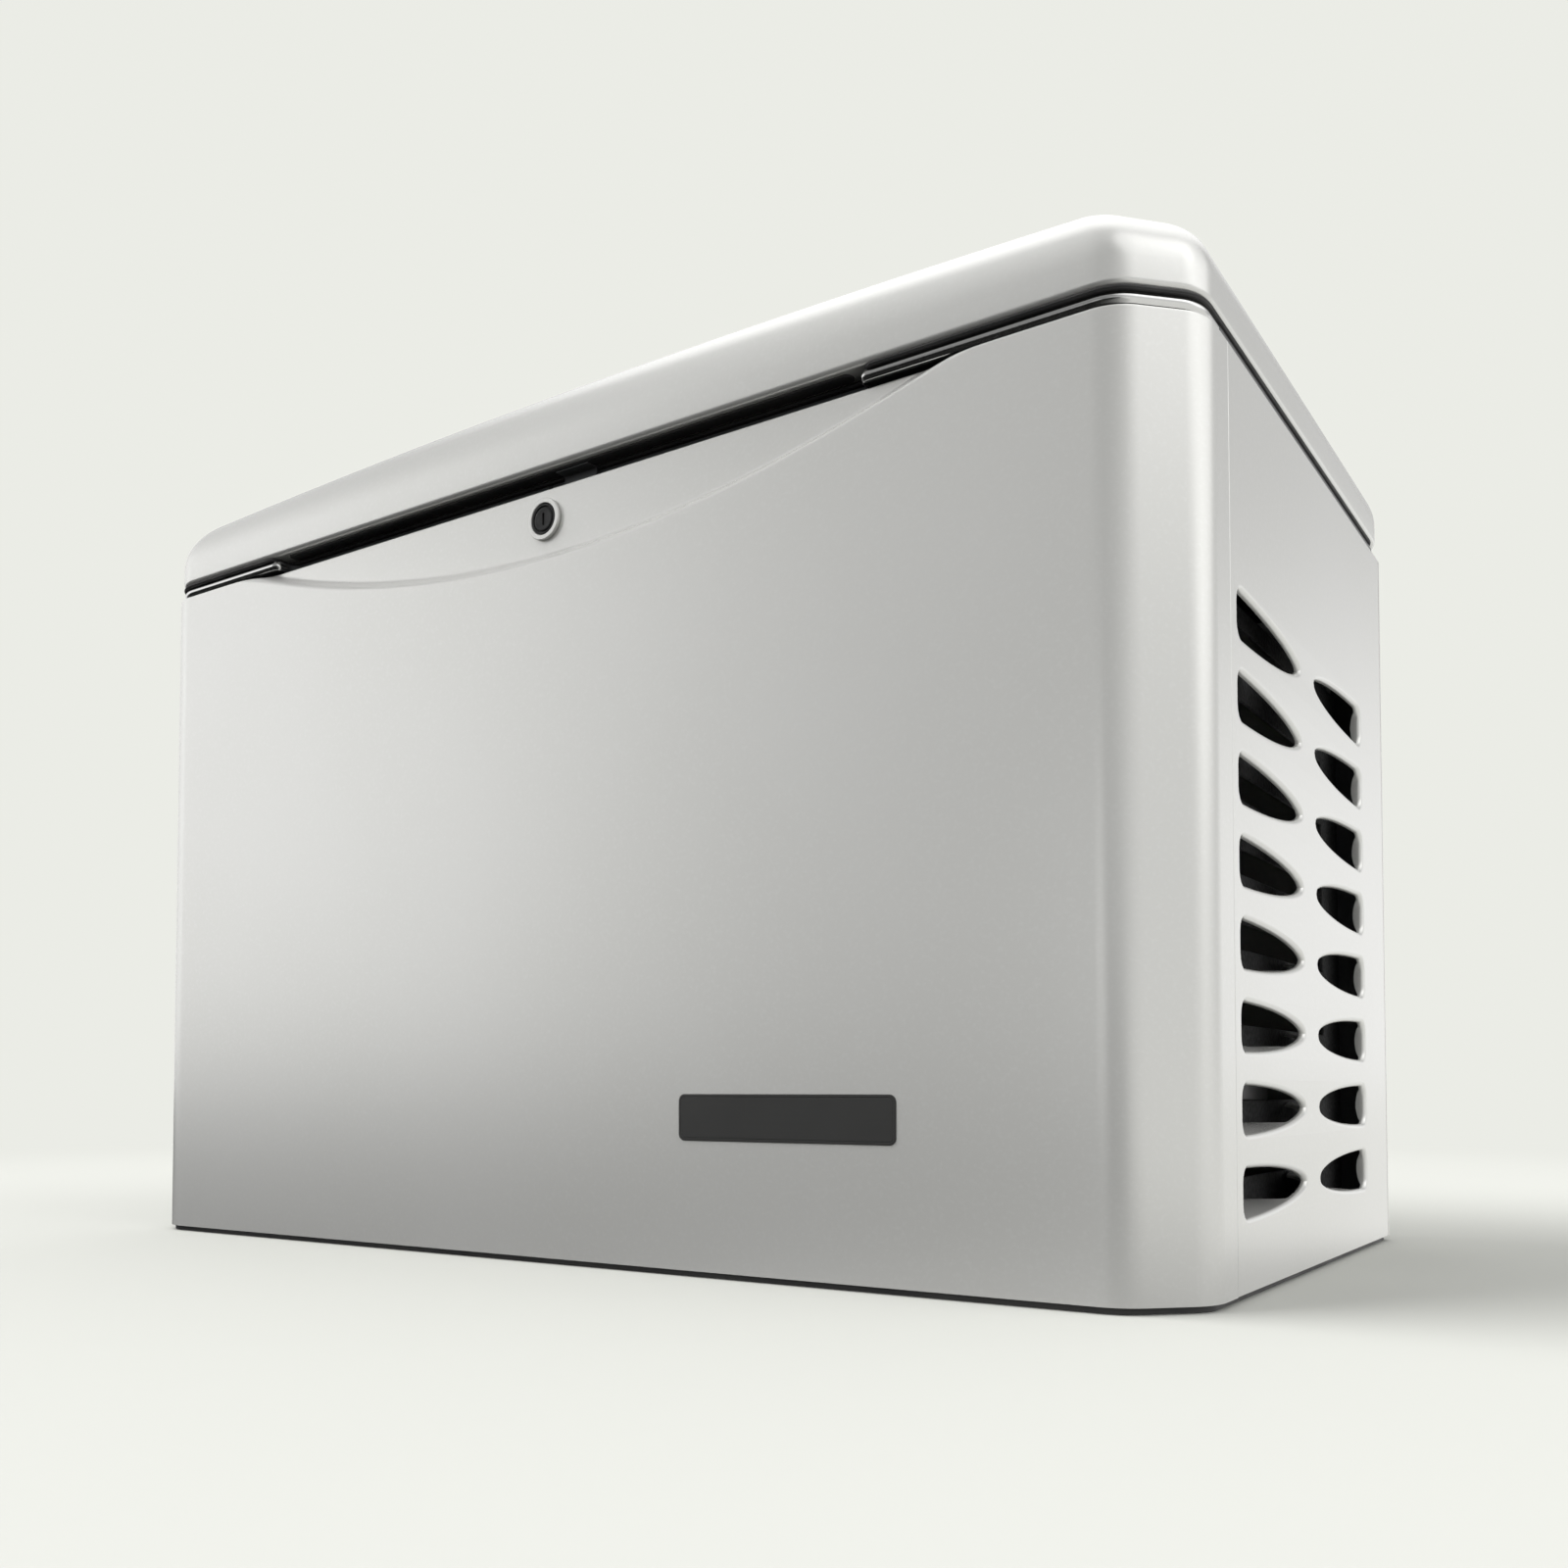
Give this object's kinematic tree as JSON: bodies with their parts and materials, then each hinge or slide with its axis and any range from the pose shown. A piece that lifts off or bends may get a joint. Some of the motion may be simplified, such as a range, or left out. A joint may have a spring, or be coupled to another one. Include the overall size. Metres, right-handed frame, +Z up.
{
  "type": "home standby generator",
  "caption": "Air-cooled home standby generator in a louvred, chamfered enclosure with a hinged domed lid, key lock and removable front panel.",
  "frame": {"origin": "on the ground under the middle of the enclosure", "axes": "+X along the length towards the right end, -Y out of the front panel with the lock, +Z up"},
  "size_m": [1.24, 0.71, 0.852],
  "materials": {
    "panel_paint": "satin warm light-grey powder coat, very fine texture",
    "base_black": "moulded, matte",
    "frame_grey": "semi-gloss dark grey coating",
    "foam": "open-cell sound foam, charcoal",
    "rubber": "matte black",
    "zinc_steel": "bright zinc plate",
    "black_plastic": "fine moulded texture",
    "lock_black": "glossy black",
    "badge_dark": "satin graphite, blank",
    "cast_alloy": "as-cast, slightly rough",
    "engine_black": "satin black engine enamel",
    "lamination": "varnished steel laminations",
    "exhaust_steel": "aluminised steel, heat tinted",
    "battery_grey": "moulded polypropylene",
    "filter_paint": "gloss amber enamel",
    "button_red": "gloss red",
    "button_green": "gloss green",
    "display_glass": "dark tinted window"
  },
  "bodies": {
    "enclosure": {"right_side_panel": "panel_paint", "left_side_panel": "panel_paint", "rear_panel": "panel_paint", "base_pan": "base_black", "inner_frame": "frame_grey", "divider_bulkhead": "frame_grey", "right_louvre_baffle": "foam", "left_louvre_baffle": "foam", "lid_seal": "rubber", "fuel_hose": "rubber", "isolator_1": "rubber", "isolator_2": "rubber", "isolator_3": "rubber", "isolator_4": "rubber", "hinge_body_leaf_left": "zinc_steel", "hinge_body_leaf_right": "zinc_steel", "hinge_pin_left": "zinc_steel", "hinge_pin_right": "zinc_steel", "strut_foot": "zinc_steel", "spark_plug_front": "zinc_steel", "spark_plug_rear": "zinc_steel", "starter_motor": "zinc_steel", "blower_housing": "black_plastic", "air_cleaner": "black_plastic", "controller_housing": "black_plastic", "breaker_body": "black_plastic", "crankcase": "cast_alloy", "cylinder_front": "cast_alloy", "cylinder_rear": "cast_alloy", "alternator_stator": "cast_alloy", "alternator_end_cover": "cast_alloy", "gas_mixer": "cast_alloy", "gas_regulator": "cast_alloy", "valve_cover_front": "engine_black", "valve_cover_rear": "engine_black", "muffler": "exhaust_steel", "exhaust_manifold": "exhaust_steel", "battery": "battery_grey", "oil_filter": "filter_paint", "display_window": "display_glass"},
    "lid": {"lid_shell": "panel_paint", "lid_keeper": "frame_grey", "hinge_lid_leaf_left": "zinc_steel", "hinge_lid_leaf_right": "zinc_steel", "strut_stud": "zinc_steel"},
    "front_panel": {"front_panel": "panel_paint", "badge_plate": "badge_dark", "lock_bezel": "panel_paint"},
    "lock": {"lock_barrel": "lock_black", "lock_cam": "zinc_steel"},
    "strut_cylinder": {"strut_cylinder": "engine_black"},
    "strut_rod": {"strut_rod": "zinc_steel"},
    "crank": {"crankshaft": "zinc_steel", "flywheel_fan": "cast_alloy", "alternator_rotor": "lamination"},
    "dipstick": {"dipstick": "filter_paint"},
    "button_off": {"button_off": "button_red"},
    "button_auto": {"button_auto": "button_green"},
    "button_run": {"button_run": "button_green"},
    "breaker_toggle": {"breaker_toggle": "button_red"}
  },
  "joints": [
    {"name": "lid_hinge", "type": "hinge", "parent": "enclosure", "child": "lid", "pos_m": [0, 0.349, 0.738], "axis": [-1, 0, 0], "range_deg": [0, 62]},
    {"name": "strut_tilt", "type": "hinge", "parent": "enclosure", "child": "strut_cylinder", "pos_m": [-0.55, 0.28, 0.64], "axis": [-1, 0, 0], "range_deg": [0, 49.87]},
    {"name": "strut_slide", "type": "slide", "parent": "strut_cylinder", "child": "strut_rod", "axis": [0, -0.7904, 0.6126], "range_m": [0, 0.1114]},
    {"name": "front_panel_lift_off", "type": "slide", "parent": "enclosure", "child": "front_panel", "axis": [0, -1, 0], "range_m": [0, 0.3]},
    {"name": "lock_turn", "type": "hinge", "parent": "front_panel", "child": "lock", "pos_m": [0, -0.343, 0.701], "axis": [0, 1, 0], "range_deg": [0, 90]},
    {"name": "crank_spin", "type": "hinge", "parent": "enclosure", "child": "crank", "pos_m": [0, 0, 0.235], "axis": [1, 0, 0], "continuous": true},
    {"name": "dipstick_pull", "type": "slide", "parent": "enclosure", "child": "dipstick", "axis": [0, 0, 1], "range_m": [0, 0.14]},
    {"name": "button_off_press", "type": "slide", "parent": "enclosure", "child": "button_off", "axis": [0, 0, -1], "range_m": [0, 0.003], "stiffness_N_per_m": 300, "springref_m": -0.001},
    {"name": "button_auto_press", "type": "slide", "parent": "enclosure", "child": "button_auto", "axis": [0, 0, -1], "range_m": [0, 0.003], "stiffness_N_per_m": 300, "springref_m": -0.001},
    {"name": "button_run_press", "type": "slide", "parent": "enclosure", "child": "button_run", "axis": [0, 0, -1], "range_m": [0, 0.003], "stiffness_N_per_m": 300, "springref_m": -0.001},
    {"name": "breaker_rock", "type": "hinge", "parent": "enclosure", "child": "breaker_toggle", "pos_m": [0.25, -0.258, 0.684], "axis": [0, 1, 0], "range_deg": [0, 40]}
  ],
  "couplings": [
    {"joint": "strut_tilt", "follows": "lid_hinge", "ratio": 0.79636},
    {"joint": "strut_slide", "follows": "lid_hinge", "m_per_rad": 0.10199}
  ]
}
